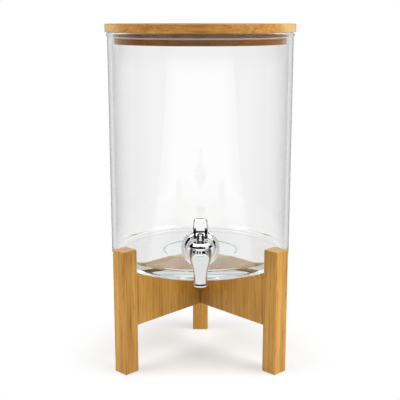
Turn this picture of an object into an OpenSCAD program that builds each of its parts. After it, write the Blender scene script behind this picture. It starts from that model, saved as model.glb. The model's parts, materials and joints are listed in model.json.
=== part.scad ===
// Glass beverage dispenser: a straight jar with a bamboo lid and a lever tap,
// standing on a three-legged bamboo stand.
// The floor is z = 0, the tap points towards -Y, and the origin is the middle of the footprint.

/* [Jar] */
// Outside diameter of the glass
jar_d = 190; // [170:1:220]
// Height of the glass
jar_h = 237; // [170:1:300]
// Thickness of the glass wall
jar_wall = 4; // [3:0.5:6]
// Thickness of the glass base
jar_base = 9; // [7:0.5:14]
// Radius of the outer edge of the base
heel_r = 6; // [3:0.5:9]
// Radius of the corner inside the base
corner_r = 5; // [2:0.5:10]
// How far the rounded rim stands out past the wall
rim_out = 1; // [0.4:0.1:2]
// Diameter of the hollow under the base
punt_d = 80; // [60:1:120]
// Depth of the hollow under the base
punt_h = 1.5; // [0.5:0.1:3]
// Height of the tap hole above the underside of the glass
hole_h = 35; // [26:1:60]

/* [Lid] */
// How far the lid stands out past the glass wall
lid_overhang = 2.5; // [2:0.5:8]
// Thickness of the top disc
lid_t = 8; // [5:0.5:14]
// Radius of the top disc's edges
lid_edge_r = 0.8; // [0.3:0.1:2]
// How deep the plug reaches into the jar
plug_h = 12; // [10:0.5:20]
// Room between the plug and the glass
plug_room = 3; // [2:0.5:5]
// Distance from the top disc down to the seal's groove
seal_drop = 4; // [2:0.5:6]
// Height of the seal's groove
seal_h = 2.4; // [1.6:0.1:3]
// Depth of the seal's groove in the plug
seal_groove = 4; // [2:0.5:8]

/* [Tap] */
// Distance from the glass to the axis of the spout
tap_reach = 29; // [28:1:45]
// Diameter of the threaded shank
shank_d = 16; // [14:0.5:18]
// Pitch of the shank's thread
thread_pitch = 1.5; // [1:0.25:2]
// Depth of the shank's thread
thread_depth = 0.6; // [0.3:0.1:0.9]
// Diameter of the passage through the shank
passage_d = 8.4; // [6:0.2:9]
// Diameter of the neck between the spout and the glass
neck_d = 17.6; // [16.5:0.2:18]
// Diameter of the chrome ring in front of the glass
escutcheon_d = 36.5; // [33:0.5:42]
// Diameter of the ring's raised middle
escutcheon_step_d = 29.5; // [26:0.5:32]
// Thickness of the ring
escutcheon_t = 5; // [4:0.5:7]
// Height and rounding of the ring's edges
escutcheon_edge = 0.8; // [0.4:0.1:1]
// Diameter of the washer between ring and glass
outer_gasket_d = 34; // [28:0.5:37]
// Diameter of the washer inside the jar
inner_gasket_d = 29; // [26:0.5:34]
// Thickness of both washers at the tap's axis
gasket_t = 2.4; // [2:0.1:4]
// Diameter of the metal washer under the nut
clamp_washer_d = 27; // [24:0.5:32]
// Thickness of the metal washer
clamp_washer_t = 1.2; // [0.8:0.1:2]
// Width of the nut across its flats
nut_af = 24; // [21:0.5:28]
// Thickness of the nut
nut_t = 7; // [5:0.5:10]
// Height of the bevel on the nut's corners
nut_bevel = 1; // [0.5:0.1:2]
// Length of shank that stands out past the nut
shank_end = 4; // [2:0.5:8]
// Distance from the shank's axis down to the tip of the spout
spout_drop = 28.5; // [26:0.5:36]
// Diameter of the outlet
outlet_d = 8.8; // [6:0.2:9.4]
// Diameter of the lip at the tip
lip_d = 13.8; // [13:0.1:16]
// Height of the lip's straight edge
lip_h = 2; // [1:0.1:4]
// Bevel under the lip
lip_bevel = 0.6; // [0.2:0.1:0.9]
// Height of the narrowest place above the tip
waist_h = 9; // [6:0.5:11]
// Narrowest diameter of the spout
waist_d = 13; // [12:0.1:14]
// Height of the widest place above the shank's axis
belly_h = 3; // [1:0.5:5]
// Widest diameter of the spout
belly_d = 21; // [20.4:0.1:24]
// Height of the body's top above the shank's axis
body_top = 9.8; // [9.1:0.1:12]
// Diameter of the body's top
body_top_d = 19.4; // [18:0.1:20.4]
// Diameter of the valve chamber
chamber_d = 13.6; // [12.8:0.1:14]
// Depth of the valve seat below the shank's axis
seat_drop = 6; // [5.4:0.1:7]

/* [Valve] */
// Diameter of the bonnet's rim
bonnet_d = 23; // [22:0.5:28]
// Height of the bonnet's rim
bonnet_rim = 2; // [1.2:0.1:3]
// Bevel under the bonnet's rim
bonnet_bevel = 0.5; // [0.2:0.1:1]
// Height of the bonnet above the body
bonnet_h = 4.4; // [4.3:0.1:7]
// Diameter of the flat land on top of the bonnet
land_d = 18; // [17.4:0.2:20]
// How far the bonnet screws into the body
spigot_h = 4.6; // [3:0.1:5]
// Wall of the bonnet's spigot
spigot_wall = 1.3; // [1:0.1:1.6]
// Height of the spring pocket's ceiling above the body's top
pocket_h = 1; // [0.6:0.1:1.2]
// Diameter of the valve stem
stem_d = 4; // [3:0.1:4.4]
// Thickness of the packing ring round the stem
packing_t = 1.7; // [1.2:0.1:2]
// Thickness of the washer that holds the packing ring
packing_washer_t = 0.8; // [0.5:0.1:1]
// Diameter of the collar that the spring bears on
collar_d = 10; // [9.6:0.1:10.2]
// Thickness of the collar
collar_t = 1.2; // [0.8:0.1:2]
// Diameter of the soft cup that closes the outlet
cup_d = 12; // [11:0.1:12.4]
// Height of the cup
cup_h = 3.5; // [3:0.1:4.4]
// Diameter of the spring at the middle of its wire
spring_d = 8.4; // [7.8:0.1:8.8]
// Diameter of the spring's wire
spring_wire = 0.8; // [0.5:0.1:0.9]
// Turns of the spring
spring_turns = 5; // [4:1:6]

/* [Lever] */
// Width of the lever at its pin
lever_w = 14.6; // [13:0.2:15]
// Width of the lever at its top
lever_top_w = 12; // [9:0.2:13]
// Thickness of the lever
lever_t = 6; // [5:0.2:7]
// Height of the lever above its pin
lever_h = 18.4; // [16:0.2:30]
// Radius of the lever's top in front view
lever_corner_r = 3.4; // [1:0.2:5]
// Radius of the lever's top in side view
lever_top_r = 2.6; // [1:0.1:2.9]
// Height of the fork's slot above the pin, at the front
fork_h = 9.6; // [7:0.2:12]
// Height of the fork's slot above the pin, at the back
slot_back_h = 4.6; // [4.4:0.1:7]
// Distance from the pin to the sole of the lever at rest
sole_h = 3.6; // [3:0.1:5]
// How far the sole reaches behind the pin
heel_l = 3.4; // [2:0.1:4]
// Diameter of the lever's pin
pin_d = 2.5; // [2:0.1:3]
// Diameter of the head on the stem
head_d = 6.6; // [5.8:0.1:7]
// Height of the head above the pin
head_h = 3.8; // [3.4:0.1:5]
// Radius of the head's top edge
head_round = 2; // [0.5:0.1:2.2]
// Thickness of the head over the stem's end
head_cap = 1; // [0.6:0.1:1.4]
// How far the valve lifts
lift = 3; // [2:0.1:3.5]
// How far the lever is pulled forward, in degrees
pull = 75; // [60:1:80]

/* [Stand] */
// Height of the jar's seat above the floor
seat_h = 100; // [80:1:140]
// Width of the square legs
leg_w = 17; // [14:0.5:22]
// How far the front legs rise past the seat
post_rise = 28; // [10:1:40]
// Height of the arms
arm_h = 52; // [40:1:60]
// Thickness of the arms
arm_t = 12; // [10:0.5:14]
// Angle of the front arms from straight ahead
arm_angle = 44; // [40:1:55]
// How far the rear leg stands in from the outside of the glass
rear_inset = 59; // [25:1:60]
// Bevel along the edges of the legs
leg_bevel = 0.6; // [0.2:0.1:1.5]
// Diameter of the leg dowels
leg_dowel_d = 6; // [5:0.5:8]
// Depth of the leg dowels in the leg
leg_dowel_in = 10; // [6:0.5:12]
// Depth of the leg dowels in the arm
arm_dowel_in = 18; // [12:0.5:22]
// Distance between the dowels of one leg
leg_dowel_pitch = 26; // [18:1:28]
// Diameter of the dowels in the middle joint
centre_dowel_d = 4; // [3:0.5:5]
// Length of the dowels across the middle joint
cross_dowel_l = 16; // [12:0.5:18]
// Distance between the dowels across the middle joint
cross_dowel_pitch = 36; // [30:1:38]
// Distance between the dowels along the rear arm
rear_dowel_pitch = 14; // [10:1:18]
// Depth of those dowels in the rear arm
rear_dowel_in = 14; // [10:0.5:18]

/* [Fits] */
// Clearance round a shaft or pin that runs in a bore
run_fit = 0.05; // [0.02:0.01:0.1]
// Clearance round a piece that is pushed or glued in
push_fit = 0.03; // [0.01:0.01:0.1]
// Room at the blind end of a dowel's hole
dowel_end = 0.5; // [0.2:0.1:1]
// Room round the shank in the glass
hole_room = 0.5; // [0.3:0.1:1]
// Room between the fork and the head on each side
fork_room = 0.7; // [0.4:0.1:1]
// Clearance between pieces that move past each other
move_gap = 0.3; // [0.2:0.05:0.5]
// Gap between the jar and the front legs
post_gap = 4; // [0.5:0.1:6]
// Gap between the closed valve and its seat
valve_gap = 0.1; // [0.05:0.01:0.2]
// Gap between the lever's sole and the bonnet
sole_gap = 0.15; // [0.1:0.01:0.3]

/* [Hidden] */
$fn = 96;
glass_fn = 720;
arc_step = 10;
spill = 1;

// Jar and lid
jar_r = jar_d / 2;
bore_r = jar_r - jar_wall;
rim_r = (jar_wall + rim_out) / 2;
rim_c = bore_r + rim_r;
rim_join = acos((jar_r - rim_c) / rim_r);
lid_r = jar_r + lid_overhang;
lid_z = seat_h + jar_h + move_gap;
plug_r = bore_r - plug_room;
seal_r = bore_r - move_gap;
seal_z = lid_z - seal_drop - seal_h;
groove_r = plug_r - seal_groove;

// Tap, with heights given from the shank's axis
hole_z = seat_h + hole_h;
hole_r = shank_d / 2 + hole_room;
tap_y = -jar_r - tap_reach;
escutcheon_y = -jar_r - gasket_t;
neck_end_y = escutcheon_y - escutcheon_t;
inner_gasket_y = -bore_r;
washer_y = inner_gasket_y + gasket_t;
nut_y = washer_y + clamp_washer_t;
shank_end_y = nut_y + nut_t + shank_end;
waist_z = waist_h - spout_drop;
seat_z = -seat_drop;

// Valve and lever, with heights given from the shank's axis
land_z = body_top + bonnet_h;
ceiling_z = body_top + pocket_h;
pocket_r = chamber_d / 2 - run_fit - spigot_wall;
stem_bore_r = stem_d / 2 + run_fit;
packing_r = packing_t / 2;
packing_c = stem_bore_r + packing_r;
packing_seat_r = packing_c + packing_r + push_fit;
packing_top = ceiling_z + packing_t + push_fit;
cup_z = seat_z + valve_gap;
collar_z = cup_z + cup_h;
collar_top = collar_z + collar_t;
cup_bore_h = cup_h - stem_d / 4;
spring_top = ceiling_z - packing_washer_t - push_fit;
pin_z = land_z + sole_gap + sole_h;
stem_top = pin_z + head_h - head_cap;
fork_w = head_d + 2 * fork_room;
pin_l = lever_w - 2 * move_gap;
cam_rate = lift / pull;
cam_slope = cam_rate * 180 / PI;

// Stand
arm_z = seat_h - arm_h;
arm_mid = seat_h - arm_h / 2;
front_in = jar_r + post_gap;
rear_reach = jar_r - rear_inset;
front_half = arm_angle;
rear_half = (180 - arm_angle) / 2;
front_joint = arm_t / 2 / sin(front_half);
rear_dowel_front = front_joint - centre_dowel_d / 2;

// Middle of the footprint
front_reach = max(-tap_y + bonnet_d / 2, (front_in + leg_w) * cos(arm_angle) + leg_w / 2 * sin(arm_angle));
rear_edge = max(lid_r, jar_r + rim_out, rear_reach + leg_w);
axis_y = (front_reach - rear_edge) / 2;

// Finishes
bamboo = "#c9924c";
bamboo_end = "#d9ab66";
chrome = "#d4d7da";
clear_glass = [0.86, 0.93, 0.92, 0.35];
silicone = "#e6e8e6";
steel = "#aeb2b5";

// Points along an arc, from one angle to another
function arc(centre, radius, from, to) =
    let (steps = max(3, ceil(abs(to - from) / arc_step)))
    [for (i = [0 : steps])
        let (a = from + (to - from) * i / steps)
        centre + radius * [cos(a), sin(a)]];

// Points of a smooth S from one point to another, upright at both ends
function s_curve(from, to, steps) =
    [for (i = [0 : steps])
        let (t = i / steps, ease = (1 - cos(180 * t)) / 2)
        [from[0] + (to[0] - from[0]) * ease, from[1] + (to[1] - from[1]) * t]];

// Everything is drawn round the jar's axis and moved to the footprint's middle
module at_axis() {
    translate([0, axis_y, 0])
        children();
}

// Upright axis of the spout, with z = 0 at the shank's axis
module at_spout() {
    at_axis()
        translate([0, tap_y, hole_z])
            children();
}

// The shank's axis: local +Z points into the jar, from distance y
module along_shank(y) {
    at_axis()
        translate([0, y, hole_z])
            rotate([-90, 0, 0])
                children();
}

// The lever's pin: local z = 0 is the pin's axis
module at_pin() {
    at_spout()
        translate([0, 0, pin_z])
            children();
}

// A rod along X, centred on the local origin
module cross_rod(radius, length) {
    rotate([0, 90, 0])
        cylinder(r = radius, h = length, center = true);
}

// A plain ring standing on the local origin
module ring(outer, inner, height) {
    difference() {
        cylinder(r = outer, h = height);
        translate([0, 0, -spill])
            cylinder(r = inner, h = height + 2 * spill);
    }
}

module glass_jar() {
    color(clear_glass)
        difference() {
            at_axis()
                translate([0, 0, seat_h])
                    rotate_extrude()
                        polygon(concat(
                            [[0, punt_h], [punt_d / 2 - punt_h, punt_h], [punt_d / 2, 0]],
                            arc([jar_r - heel_r, heel_r], heel_r, -90, 0),
                            arc([rim_c, jar_h - rim_r], rim_r, -rim_join, 180),
                            arc([bore_r - corner_r, jar_base + corner_r], corner_r, 0, -90),
                            [[0, jar_base]]
                        ));
            along_shank(-jar_r - spill)
                cylinder(r = hole_r, h = jar_wall + 4 * spill);
        }
}

module lid_top() {
    color(bamboo)
        at_axis()
            translate([0, 0, lid_z])
                rotate_extrude()
                    polygon(concat(
                        [[0, 0]],
                        arc([lid_r - lid_edge_r, lid_edge_r], lid_edge_r, -90, 0),
                        arc([lid_r - lid_edge_r, lid_t - lid_edge_r], lid_edge_r, 0, 90),
                        [[0, lid_t]]
                    ));
}

module lid_plug() {
    color(bamboo_end)
        at_axis()
            translate([0, 0, lid_z])
                rotate_extrude()
                    polygon(concat(
                        [[0, -plug_h]],
                        arc([plug_r - lid_edge_r, lid_edge_r - plug_h], lid_edge_r, -90, 0),
                        [
                            [plug_r, -seal_drop - seal_h], [groove_r, -seal_drop - seal_h],
                            [groove_r, -seal_drop], [plug_r, -seal_drop], [plug_r, 0], [0, 0]
                        ]
                    ));
}

module lid_seal() {
    lip_r = seal_h / 2 - push_fit;
    color(silicone)
        at_axis()
            translate([0, 0, seal_z + seal_h / 2])
                rotate_extrude()
                    polygon(concat(
                        [[groove_r + push_fit, lip_r], [groove_r + push_fit, -lip_r]],
                        arc([seal_r - lip_r, 0], lip_r, -90, 90)
                    ));
}

module outer_gasket() {
    color(silicone)
        difference() {
            along_shank(escutcheon_y)
                ring(outer_gasket_d / 2, shank_d / 2 + push_fit, tap_reach);
            at_axis()
                translate([0, 0, seat_h])
                    cylinder(r = jar_r + push_fit, h = jar_h, $fn = glass_fn);
        }
}

module escutcheon() {
    outer = escutcheon_d / 2;
    step = escutcheon_step_d / 2;
    edge = escutcheon_edge;
    color(chrome)
        along_shank(escutcheon_y)
            mirror([0, 0, 1])
                rotate_extrude()
                    polygon(concat(
                        [
                            [shank_d / 2 + push_fit, 0], [outer, 0], [outer, edge],
                            [step + edge, escutcheon_t / 2 - edge]
                        ],
                        arc([step - edge, escutcheon_t / 2], edge, 0, 90),
                        s_curve(
                            [step - 2 * edge, escutcheon_t / 2 + edge],
                            [neck_d / 2 + edge, escutcheon_t], 6),
                        [[shank_d / 2 + push_fit, escutcheon_t]]
                    ));
}

module tap_body() {
    thread_y = washer_y;
    thread_turns = floor((shank_end_y - thread_y) / thread_pitch);
    thread_l = thread_turns * thread_pitch;
    color(chrome)
        difference() {
            union() {
                at_spout()
                    rotate_extrude()
                        polygon(concat(
                            [
                                [0, -spout_drop], [lip_d / 2 - lip_bevel, -spout_drop],
                                [lip_d / 2, lip_bevel - spout_drop]
                            ],
                            s_curve([lip_d / 2, lip_h - spout_drop], [waist_d / 2, waist_z], 5),
                            s_curve([waist_d / 2, waist_z], [belly_d / 2, belly_h], 12),
                            s_curve([belly_d / 2, belly_h], [body_top_d / 2, body_top], 6),
                            [[0, body_top]]
                        ));
                along_shank(tap_y)
                    cylinder(d = neck_d, h = neck_end_y - tap_y);
                along_shank(tap_y)
                    cylinder(d = shank_d, h = thread_y - tap_y);
                along_shank(thread_y)
                    rotate_extrude()
                        polygon(concat(
                            [[0, 0]],
                            [for (i = [0 : thread_turns - 1], half = [0, 1])
                                [shank_d / 2 - half * thread_depth, (i + half / 2) * thread_pitch]],
                            [[shank_d / 2 - thread_depth, thread_l], [0, thread_l]]
                        ));
            }
            at_spout()
                translate([0, 0, seat_z])
                    cylinder(d = chamber_d, h = body_top - seat_z + spill);
            at_spout()
                translate([0, 0, -spout_drop - spill])
                    cylinder(d = outlet_d, h = spout_drop + seat_z + 2 * spill);
            along_shank(tap_y)
                cylinder(d = passage_d, h = shank_end_y - tap_y + spill);
        }
}

module inner_gasket() {
    color(silicone)
        intersection() {
            along_shank(inner_gasket_y - gasket_t)
                ring(inner_gasket_d / 2, shank_d / 2 + push_fit, 2 * gasket_t);
            at_axis()
                translate([0, 0, seat_h])
                    cylinder(r = bore_r - push_fit, h = jar_h, $fn = glass_fn);
        }
}

module clamp_washer() {
    color(steel)
        along_shank(washer_y)
            ring(clamp_washer_d / 2, shank_d / 2 + push_fit, clamp_washer_t);
}

module clamp_nut() {
    corner = nut_af / 2 / cos(30);
    color(chrome)
        along_shank(nut_y)
            difference() {
                intersection() {
                    cylinder(r = corner, h = nut_t, $fn = 6);
                    rotate_extrude()
                        polygon([
                            [0, 0], [corner, 0], [corner, nut_t - nut_bevel],
                            [nut_af / 2 - nut_bevel / 2, nut_t], [0, nut_t]
                        ]);
                }
                translate([0, 0, -spill])
                    cylinder(r = shank_d / 2 + push_fit, h = nut_t + 2 * spill);
            }
}

module bonnet() {
    spigot_r = chamber_d / 2 - run_fit;
    rim = bonnet_d / 2;
    color(chrome)
        at_spout()
            rotate_extrude()
                polygon(concat(
                    [
                        [pocket_r, body_top - spigot_h], [spigot_r, body_top - spigot_h],
                        [spigot_r, body_top],
                        [rim - bonnet_bevel, body_top], [rim, body_top + bonnet_bevel]
                    ],
                    s_curve([rim, body_top + bonnet_rim], [land_d / 2, land_z], 6),
                    [
                        [stem_bore_r, land_z], [stem_bore_r, packing_top], [packing_seat_r, packing_top],
                        [packing_seat_r, ceiling_z], [pocket_r, ceiling_z]
                    ]
                ));
}

module packing_ring() {
    color(silicone)
        at_spout()
            translate([0, 0, ceiling_z + packing_r])
                rotate_extrude()
                    translate([packing_c, 0])
                        circle(r = packing_r);
}

module packing_washer() {
    color(steel)
        at_spout()
            translate([0, 0, spring_top])
                ring(pocket_r - move_gap, stem_bore_r + push_fit, packing_washer_t);
}

// Points of the spring's wire, ring by ring, and the faces between them
spring_sides = 6;
spring_rings = spring_turns * 16;
spring_low = collar_top + spring_wire / 2;
spring_rise = spring_top - collar_top - spring_wire;
spring_gap = spring_rise / spring_turns - spring_wire;
function spring_point(i, j) =
    let (
        turn = 360 * spring_turns * i / spring_rings,
        side = 360 * j / spring_sides,
        out = spring_d / 2 + spring_wire / 2 * cos(side),
        up = spring_rise * i / spring_rings + spring_wire / 2 * sin(side)
    )
    [out * cos(turn), out * sin(turn), spring_low + up];
function spring_index(i, j) = i * spring_sides + j % spring_sides;

module return_spring() {
    points = [for (i = [0 : spring_rings], j = [0 : spring_sides - 1]) spring_point(i, j)];
    sides = [for (i = [0 : spring_rings - 1], j = [0 : spring_sides - 1], half = [0, 1])
        half == 0
            ? [spring_index(i, j), spring_index(i, j + 1), spring_index(i + 1, j)]
            : [spring_index(i, j + 1), spring_index(i + 1, j + 1), spring_index(i + 1, j)]];
    ends = [for (j = [1 : spring_sides - 2], last = [0, 1])
        last == 0
            ? [spring_index(0, 0), spring_index(0, j + 1), spring_index(0, j)]
            : [for (k = [0, j, j + 1]) spring_index(spring_rings, k)]];
    echo(least_gap_in_spring = spring_gap);
    color(steel)
        at_spout()
            polyhedron(points, concat(sides, ends));
}

module valve_stem() {
    foot_z = collar_z - cup_bore_h + push_fit;
    color(steel)
        difference() {
            at_spout()
                rotate_extrude()
                    polygon([
                        [0, foot_z], [stem_d / 2, foot_z],
                        [stem_d / 2, collar_z], [collar_d / 2, collar_z],
                        [collar_d / 2, collar_top], [stem_d / 2, collar_top],
                        [stem_d / 2, stem_top], [0, stem_top]
                    ]);
            at_pin()
                cross_rod(pin_d / 2 + push_fit, stem_d + 2 * spill);
        }
}

module stem_head() {
    head_r = head_d / 2;
    foot_z = land_z + move_gap - pin_z;
    color(chrome)
        difference() {
            at_pin()
                rotate_extrude()
                    polygon(concat(
                        [[0, foot_z], [head_r, foot_z]],
                        arc([head_r - head_round, head_h - head_round], head_round, 0, 90),
                        [[0, head_h]]
                    ));
            at_pin()
                translate([0, 0, foot_z - spill])
                    cylinder(r = stem_d / 2 + push_fit, h = stem_top - pin_z - foot_z + spill + push_fit);
            at_pin()
                cross_rod(pin_d / 2 + push_fit, head_d + 2 * spill);
        }
}

module seat_cup() {
    color(silicone)
        at_spout()
            translate([0, 0, cup_z])
                difference() {
                    cylinder(d = cup_d, h = cup_h);
                    translate([0, 0, cup_h - cup_bore_h])
                        cylinder(r = stem_d / 2 + push_fit, h = cup_bore_h + spill);
                }
}

// The cam's distance from the pin grows evenly with the pull, so its outline is an involute
function cam_point(a) =
    (sole_h + cam_rate * a) * [-sin(a), -cos(a)] + cam_slope * [-cos(a), sin(a)];

module lever_side() {
    front = -lever_t / 2;
    back = lever_t / 2;
    polygon(concat(
        [[heel_l, -sole_h]],
        [for (a = [0 : 5 : pull]) cam_point(a)],
        [cam_point(pull), [front, fork_h]],
        arc([front + lever_top_r, lever_h - lever_top_r], lever_top_r, 180, 90),
        arc([back - lever_top_r, lever_h - lever_top_r], lever_top_r, 90, 0),
        [[back, fork_h], [heel_l + 1, 0]]
    ));
}

module lever_front() {
    half = lever_w / 2;
    corner = [lever_top_w / 2 - lever_corner_r, lever_h - lever_corner_r];
    lean = atan((half - lever_top_w / 2) / corner.y);
    polygon(concat(
        [[half, -2 * sole_h], [half, 0]],
        arc(corner, lever_corner_r, lean, 90),
        arc([-corner.x, corner.y], lever_corner_r, 90, 180 - lean),
        [[-half, 0], [-half, -2 * sole_h]]
    ));
}

// The fork's slot from the side: its ceiling slopes down towards the back
module fork_slot(deep) {
    front = -lever_t / 2;
    back = lever_t / 2;
    polygon([
        [-deep, -deep], [-deep, fork_h], [front, fork_h],
        [back, slot_back_h], [deep, slot_back_h], [deep, -deep]
    ]);
}

module lever() {
    deep = 4 * lever_t;
    color(chrome)
        at_pin()
            difference() {
                intersection() {
                    rotate([90, 0, 90])
                        linear_extrude(lever_w, center = true)
                            lever_side();
                    rotate([90, 0, 0])
                        linear_extrude(deep, center = true)
                            lever_front();
                }
                rotate([90, 0, 90])
                    linear_extrude(fork_w, center = true)
                        fork_slot(deep);
                cross_rod(pin_d / 2 + run_fit, lever_w + 2 * spill);
            }
}

module lever_pin() {
    color(steel)
        at_pin()
            cross_rod(pin_d / 2, pin_l);
}

// An arm's own frame: local +X runs out along it from the jar's axis
module along_arm(angle) {
    at_axis()
        rotate([0, 0, angle])
            children();
}
left_angle = 270 - arm_angle;
right_angle = 270 + arm_angle;
rear_angle = 90;

// The two dowels between an arm and its leg, with the room given round them and at their ends
module leg_dowel_pair(reach, room, end_room) {
    for (side = [-1, 1])
        translate([reach - arm_dowel_in - end_room, 0, arm_mid + side * leg_dowel_pitch / 2])
            rotate([0, 90, 0])
                cylinder(r = leg_dowel_d / 2 + room, h = arm_dowel_in + leg_dowel_in + 2 * end_room);
}

// The dowels of the middle joint: two across it and two along the rear arm
module centre_dowel_set(room, end_room) {
    for (side = [-1, 1]) {
        translate([0, -front_joint / 2, arm_mid + side * cross_dowel_pitch / 2])
            cross_rod(centre_dowel_d / 2 + room, cross_dowel_l + 2 * end_room);
        translate([0, -rear_dowel_front - end_room, arm_mid + side * rear_dowel_pitch / 2])
            rotate([-90, 0, 0])
                cylinder(r = centre_dowel_d / 2 + room, h = rear_dowel_front + rear_dowel_in + 2 * end_room);
    }
}

module leg(angle, reach, height) {
    half = leg_w / 2;
    flat = half - leg_bevel;
    color(bamboo)
        along_arm(angle)
            difference() {
                translate([reach + half, 0, 0])
                    linear_extrude(height)
                        polygon([
                            [half, -flat], [half, flat], [flat, half], [-flat, half],
                            [-half, flat], [-half, -flat], [-flat, -half], [flat, -half]
                        ]);
                leg_dowel_pair(reach, push_fit, dowel_end);
            }
}

// An arm with its inner end mitred against its two neighbours
module arm(angle, reach, right_half, left_half) {
    half = arm_t / 2;
    color(bamboo)
        difference() {
            at_axis()
                translate([0, 0, arm_z])
                    linear_extrude(arm_h)
                        rotate(angle)
                            polygon([
                                [0, 0], [half / tan(right_half), -half], [reach, -half],
                                [reach, half], [half / tan(left_half), half]
                            ]);
            along_arm(angle)
                leg_dowel_pair(reach, push_fit, dowel_end);
            at_axis()
                centre_dowel_set(push_fit, dowel_end);
        }
}

module front_left_leg() {
    leg(left_angle, front_in, seat_h + post_rise);
}

module front_right_leg() {
    leg(right_angle, front_in, seat_h + post_rise);
}

module rear_leg() {
    leg(rear_angle, rear_reach, seat_h);
}

module front_left_arm() {
    arm(left_angle, front_in, rear_half, front_half);
}

module front_right_arm() {
    arm(right_angle, front_in, front_half, rear_half);
}

module rear_arm() {
    arm(rear_angle, rear_reach, rear_half, rear_half);
}

module leg_dowels() {
    color(bamboo_end) {
        along_arm(left_angle)
            leg_dowel_pair(front_in, 0, 0);
        along_arm(right_angle)
            leg_dowel_pair(front_in, 0, 0);
        along_arm(rear_angle)
            leg_dowel_pair(rear_reach, 0, 0);
    }
}

module centre_dowels() {
    color(bamboo_end)
        at_axis()
            centre_dowel_set(0, 0);
}

glass_jar();
lid_top();
lid_plug();
lid_seal();
outer_gasket();
escutcheon();
tap_body();
inner_gasket();
clamp_washer();
clamp_nut();
bonnet();
packing_ring();
packing_washer();
return_spring();
valve_stem();
stem_head();
seat_cup();
lever();
lever_pin();
front_left_leg();
front_right_leg();
rear_leg();
front_left_arm();
front_right_arm();
rear_arm();
leg_dowels();
centre_dowels();
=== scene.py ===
"""Looks of a glass drink dispenser: a clear jar with a bamboo lid and a chrome lever tap on a bamboo stand.

All sizes are in metres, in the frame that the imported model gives.
"""
import json
import math

import bmesh
import bpy
from mathutils import Matrix, Vector


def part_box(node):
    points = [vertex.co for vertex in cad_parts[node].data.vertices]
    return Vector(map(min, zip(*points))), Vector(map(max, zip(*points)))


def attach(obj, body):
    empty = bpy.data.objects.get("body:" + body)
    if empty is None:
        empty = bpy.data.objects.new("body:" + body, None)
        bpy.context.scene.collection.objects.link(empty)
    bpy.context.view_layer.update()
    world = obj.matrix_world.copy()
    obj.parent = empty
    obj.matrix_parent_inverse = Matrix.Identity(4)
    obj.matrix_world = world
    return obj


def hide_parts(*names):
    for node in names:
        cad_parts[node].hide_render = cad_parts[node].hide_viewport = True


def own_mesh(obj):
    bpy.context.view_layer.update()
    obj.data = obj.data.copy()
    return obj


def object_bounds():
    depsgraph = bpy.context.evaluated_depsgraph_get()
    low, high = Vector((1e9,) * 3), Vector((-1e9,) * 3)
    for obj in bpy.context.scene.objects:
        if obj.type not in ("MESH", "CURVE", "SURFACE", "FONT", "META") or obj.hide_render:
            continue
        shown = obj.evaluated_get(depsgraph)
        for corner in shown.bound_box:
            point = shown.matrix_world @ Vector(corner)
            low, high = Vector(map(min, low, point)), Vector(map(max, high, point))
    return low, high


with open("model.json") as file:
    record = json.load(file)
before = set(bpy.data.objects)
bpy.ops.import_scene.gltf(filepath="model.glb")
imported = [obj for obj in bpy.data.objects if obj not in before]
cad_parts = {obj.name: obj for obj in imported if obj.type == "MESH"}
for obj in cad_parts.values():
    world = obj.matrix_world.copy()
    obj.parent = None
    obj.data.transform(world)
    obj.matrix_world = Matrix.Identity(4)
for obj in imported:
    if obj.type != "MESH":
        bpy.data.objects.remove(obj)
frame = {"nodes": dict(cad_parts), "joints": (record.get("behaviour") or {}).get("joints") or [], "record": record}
cad_low, cad_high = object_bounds()

MM = 0.001
RIGHT = Vector((1, 0, 0))
BACK = Vector((0, 1, 0))
UP = Vector((0, 0, 1))
MERGE = 0.002 * MM
SMOOTH_TO = 35

# Places that the frame gives
mounts = {mount["name"]: Vector(mount["pos_m"]) for mount in frame["record"]["mounts"]}
joints = {joint["name"]: joint for joint in frame["joints"]}
feet = {side: mounts[side + "_foot"] for side in ("front_left", "front_right", "rear")}
pin = Vector(joints["lever_pull"]["pos_m"])
pull = joints["lever_pull"]["range_deg"][1]
lift = joints["stem_lift"]["range_m"][1]
inside_low, inside_high = frame["record"]["physics"]["openings"][0]["box_m"]
axis_y = (inside_low[1] + inside_high[1]) / 2
arm_turn = math.degrees(math.atan2(feet["front_right"].x, axis_y - feet["front_right"].y))
jar_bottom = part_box("glass_jar")[0].z
jar_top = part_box("glass_jar")[1].z
lid_bottom, lid_top = (corner.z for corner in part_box("lid_top"))
plug_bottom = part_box("lid_plug")[0].z
seal_bottom, seal_top = (corner.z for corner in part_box("lid_seal"))
ring_front, ring_back = (corner.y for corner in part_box("escutcheon"))
shank_z = (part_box("escutcheon")[0].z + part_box("escutcheon")[1].z) / 2
shank_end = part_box("tap_body")[1].y
spout_tip, body_top = (corner.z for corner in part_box("tap_body"))
bonnet_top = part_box("bonnet")[1].z
head_bottom, head_top = (corner.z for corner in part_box("stem_head"))
lever_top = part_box("lever")[1].z
leg_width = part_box("rear_leg")[1].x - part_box("rear_leg")[0].x
arm_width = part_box("rear_arm")[1].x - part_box("rear_arm")[0].x
arm_bottom, arm_top = (corner.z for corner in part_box("rear_arm"))
jar_axis = Vector((0, axis_y, 0))
spout_axis = Vector((0, pin.y, 0))
shank_axis = Vector((0, 0, shank_z))

# Sizes of the glass
GLASS_RADIUS = 95 * MM
GLASS_WALL = 4 * MM
GLASS_BASE = 9 * MM
HEEL_RADIUS = 6 * MM
CORNER_RADIUS = 5 * MM
RIM_OUT = 1 * MM
PUNT_RADIUS = 40 * MM
PUNT_DEPTH = 1.5 * MM
TAP_HOLE_RADIUS = 8.5 * MM
bore_radius = GLASS_RADIUS - GLASS_WALL

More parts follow.
